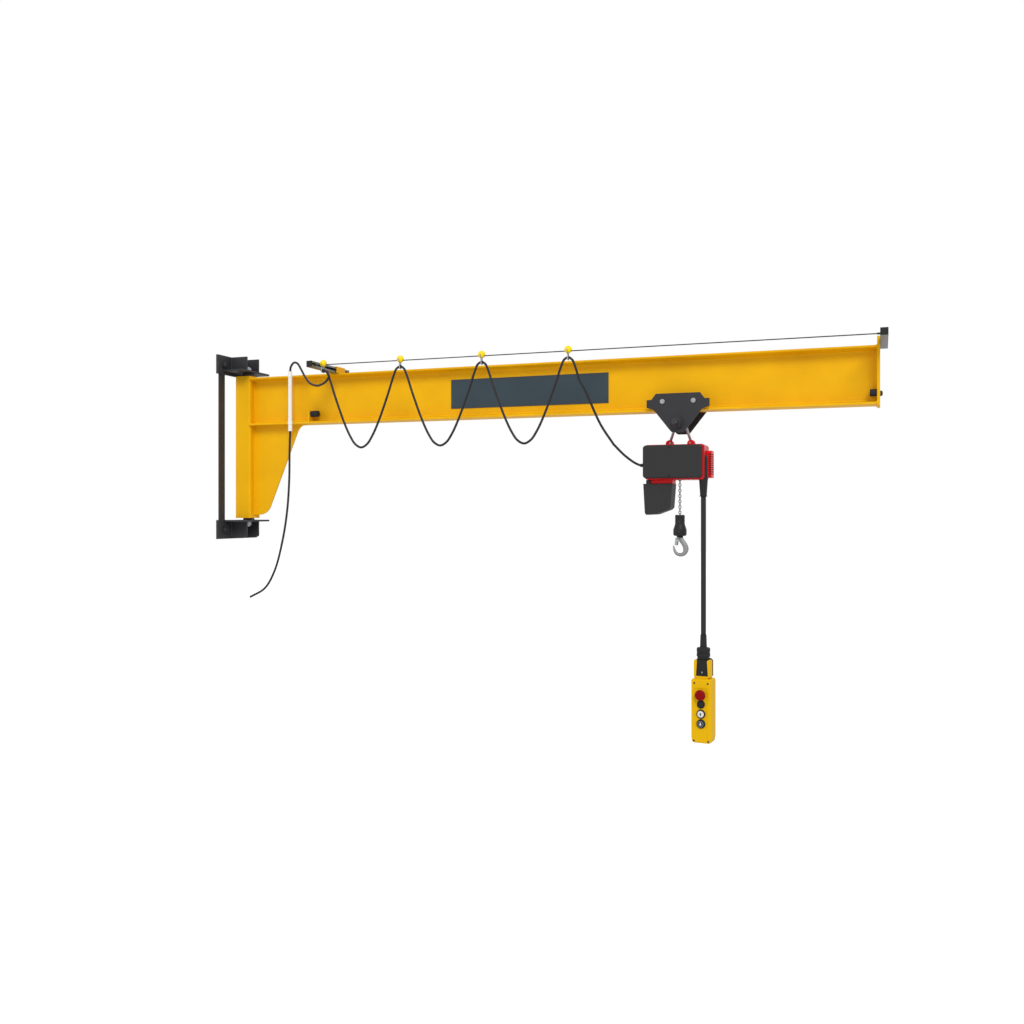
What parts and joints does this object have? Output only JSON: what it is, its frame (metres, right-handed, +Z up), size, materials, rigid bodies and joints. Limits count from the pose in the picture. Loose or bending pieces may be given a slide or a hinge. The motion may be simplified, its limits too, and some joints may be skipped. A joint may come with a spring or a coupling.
{
  "type": "wall-mounted slewing jib crane",
  "caption": "Wall-mounted slewing jib crane: braced I-beam on a pivoting post, push trolley, small chain hoist with swivel hook, festoon cable and hanging pendant control.",
  "frame": {"origin": "centre of the lower wall plate's back face, on the wall", "axes": "+X out from the wall along the jib at rest, +Y away from the cable side, +Z up"},
  "size_m": [3.146, 0.459, 1.7755],
  "materials": {
    "bracket_paint": "satin powder coat",
    "zinc_steel": "bright zinc plate",
    "dark_steel": "phosphated, dull",
    "jib_yellow": "satin paint",
    "buffer_rubber": "matte",
    "panel_slate": "satin",
    "galvanised_steel": "galvanised, slight spangle",
    "black_plastic": "moulded, fine grain",
    "wire_rope": "stranded wire",
    "roller_yellow": "moulded nylon",
    "conduit_white": "smooth",
    "cable_black": "semi-matte sheath",
    "trolley_paint": "satin powder coat",
    "wheel_steel": "turned steel",
    "hoist_red": "satin painted casting",
    "cover_black": "fine-grained moulding",
    "fan_red": "moulded",
    "bag_black": "flexible moulding",
    "chain_steel": "zinc plated",
    "hook_steel": "forged, lightly oiled",
    "pendant_yellow": "moulded",
    "stop_red": "moulded",
    "button_black": "rubber boot",
    "button_white": "moulded",
    "button_grey": "moulded"
  },
  "bodies": {
    "wall_bracket": {"lower_wall_plate": "bracket_paint", "upper_wall_plate": "bracket_paint", "bracket_cheeks": "bracket_paint", "lower_bearing_plate": "bracket_paint", "upper_bearing_plate": "bracket_paint", "tie_bars": "bracket_paint", "pivot_pins": "zinc_steel", "thrust_washers": "dark_steel"},
    "jib": {"post": "jib_yellow", "post_caps": "jib_yellow", "beam": "jib_yellow", "gusset": "jib_yellow", "end_plate": "jib_yellow", "stop_plates": "jib_yellow", "buffers": "buffer_rubber", "sign_panel": "panel_slate", "rail_clamp": "jib_yellow", "root_rail": "galvanised_steel", "tip_rail": "galvanised_steel", "rail_caps": "black_plastic", "taut_wire": "wire_rope", "fixed_clamp": "roller_yellow", "conduit": "conduit_white", "conduit_clips": "conduit_white", "supply_tail": "cable_black", "slack_loop": "cable_black", "festoon_span_1": "cable_black"},
    "cable_carrier_2": {"carrier_2": "roller_yellow", "festoon_span_2": "cable_black"},
    "cable_carrier_3": {"carrier_3": "roller_yellow", "festoon_span_3": "cable_black"},
    "cable_carrier_4": {"carrier_4": "roller_yellow", "festoon_lead": "cable_black"},
    "trolley": {"trolley_plate_near": "trolley_paint", "trolley_plate_far": "trolley_paint", "trolley_axles": "zinc_steel", "suspension_bolt": "dark_steel"},
    "trolley_wheel_1": {"wheel_1": "wheel_steel"},
    "trolley_wheel_2": {"wheel_2": "wheel_steel"},
    "trolley_wheel_3": {"wheel_3": "wheel_steel"},
    "trolley_wheel_4": {"wheel_4": "wheel_steel"},
    "hoist": {"hoist_bail": "zinc_steel", "hoist_housing": "hoist_red", "lift_pin": "zinc_steel", "chain": "chain_steel", "hoist_cover": "cover_black", "fan_cover": "fan_red", "chain_guide": "fan_red", "chain_bag": "bag_black", "slack_chain": "chain_steel", "cable_outlet": "black_plastic", "pendant_cable": "cable_black", "pendant_gland": "black_plastic", "pendant_body": "pendant_yellow"},
    "bottom_block": {"hook_block": "black_plastic"},
    "swivel_hook": {"hook": "hook_steel"},
    "latch": {"hook_latch": "zinc_steel"},
    "stop_push": {"stop_button": "stop_red"},
    "start_push": {"start_button": "button_black"},
    "raise_push": {"raise_button": "button_white"},
    "lower_push": {"lower_button": "button_grey"}
  },
  "joints": [
    {"name": "slew", "type": "hinge", "parent": "wall_bracket", "child": "jib", "pos_m": [0.07, 0, 0.4135], "axis": [0, 0, 1], "range_deg": [-90, 90]},
    {"name": "trolley_travel", "type": "slide", "parent": "jib", "child": "trolley", "axis": [1, 0, 0], "range_m": [-1.69, 0.68], "deforming": ["festoon_lead"]},
    {"name": "carrier_2_travel", "type": "slide", "parent": "jib", "child": "cable_carrier_2", "axis": [1, 0, 0], "range_m": [-0.36, 0.146], "deforming": ["festoon_span_1"]},
    {"name": "carrier_3_travel", "type": "slide", "parent": "cable_carrier_2", "child": "cable_carrier_3", "axis": [1, 0, 0], "range_m": [-0.36, 0.146], "deforming": ["festoon_span_2"]},
    {"name": "carrier_4_travel", "type": "slide", "parent": "cable_carrier_3", "child": "cable_carrier_4", "axis": [1, 0, 0], "range_m": [-0.36, 0.146], "deforming": ["festoon_span_3"]},
    {"name": "wheel_1_spin", "type": "hinge", "parent": "trolley", "child": "trolley_wheel_1", "pos_m": [2.228, -0.04, 0.5665], "axis": [0, 1, 0], "continuous": true},
    {"name": "wheel_2_spin", "type": "hinge", "parent": "trolley", "child": "trolley_wheel_2", "pos_m": [2.362, -0.04, 0.5665], "axis": [0, 1, 0], "continuous": true},
    {"name": "wheel_3_spin", "type": "hinge", "parent": "trolley", "child": "trolley_wheel_3", "pos_m": [2.228, 0.04, 0.5665], "axis": [0, 1, 0], "continuous": true},
    {"name": "wheel_4_spin", "type": "hinge", "parent": "trolley", "child": "trolley_wheel_4", "pos_m": [2.362, 0.04, 0.5665], "axis": [0, 1, 0], "continuous": true},
    {"name": "hoist_swing", "type": "hinge", "parent": "trolley", "child": "hoist", "pos_m": [2.295, 0, 0.472], "axis": [0, 1, 0], "range_deg": [-10, 10]},
    {"name": "hook_lift", "type": "slide", "parent": "hoist", "child": "bottom_block", "axis": [0, 0, 1], "range_m": [-2, 0], "deforming": ["chain"]},
    {"name": "hook_swivel", "type": "hinge", "parent": "bottom_block", "child": "swivel_hook", "pos_m": [2.292, 0, -0.02], "axis": [0, 0, 1], "continuous": true},
    {"name": "latch_swing", "type": "hinge", "parent": "swivel_hook", "child": "latch", "pos_m": [2.292, 0, -0.03756], "axis": [0, -1, 0], "range_deg": [0, 35], "stiffness_Nm_per_rad": 0.05, "springref_deg": -28.65},
    {"name": "stop_press", "type": "slide", "parent": "hoist", "child": "stop_push", "axis": [0.1219, 0.9925, 0], "range_m": [0, 0.006], "stiffness_N_per_m": 900, "springref_m": -0.003},
    {"name": "start_press", "type": "slide", "parent": "hoist", "child": "start_push", "axis": [0.1219, 0.9925, 0], "range_m": [0, 0.004], "stiffness_N_per_m": 700, "springref_m": -0.003},
    {"name": "raise_press", "type": "slide", "parent": "hoist", "child": "raise_push", "axis": [0.1219, 0.9925, 0], "range_m": [0, 0.004], "stiffness_N_per_m": 700, "springref_m": -0.003},
    {"name": "lower_press", "type": "slide", "parent": "hoist", "child": "lower_push", "axis": [0.1219, 0.9925, 0], "range_m": [0, 0.004], "stiffness_N_per_m": 700, "springref_m": -0.003}
  ],
  "couplings": [
    {"joint": "carrier_2_travel", "follows": "trolley_travel", "ratio": 0.212},
    {"joint": "carrier_3_travel", "follows": "trolley_travel", "ratio": 0.212},
    {"joint": "carrier_4_travel", "follows": "trolley_travel", "ratio": 0.212}
  ]
}
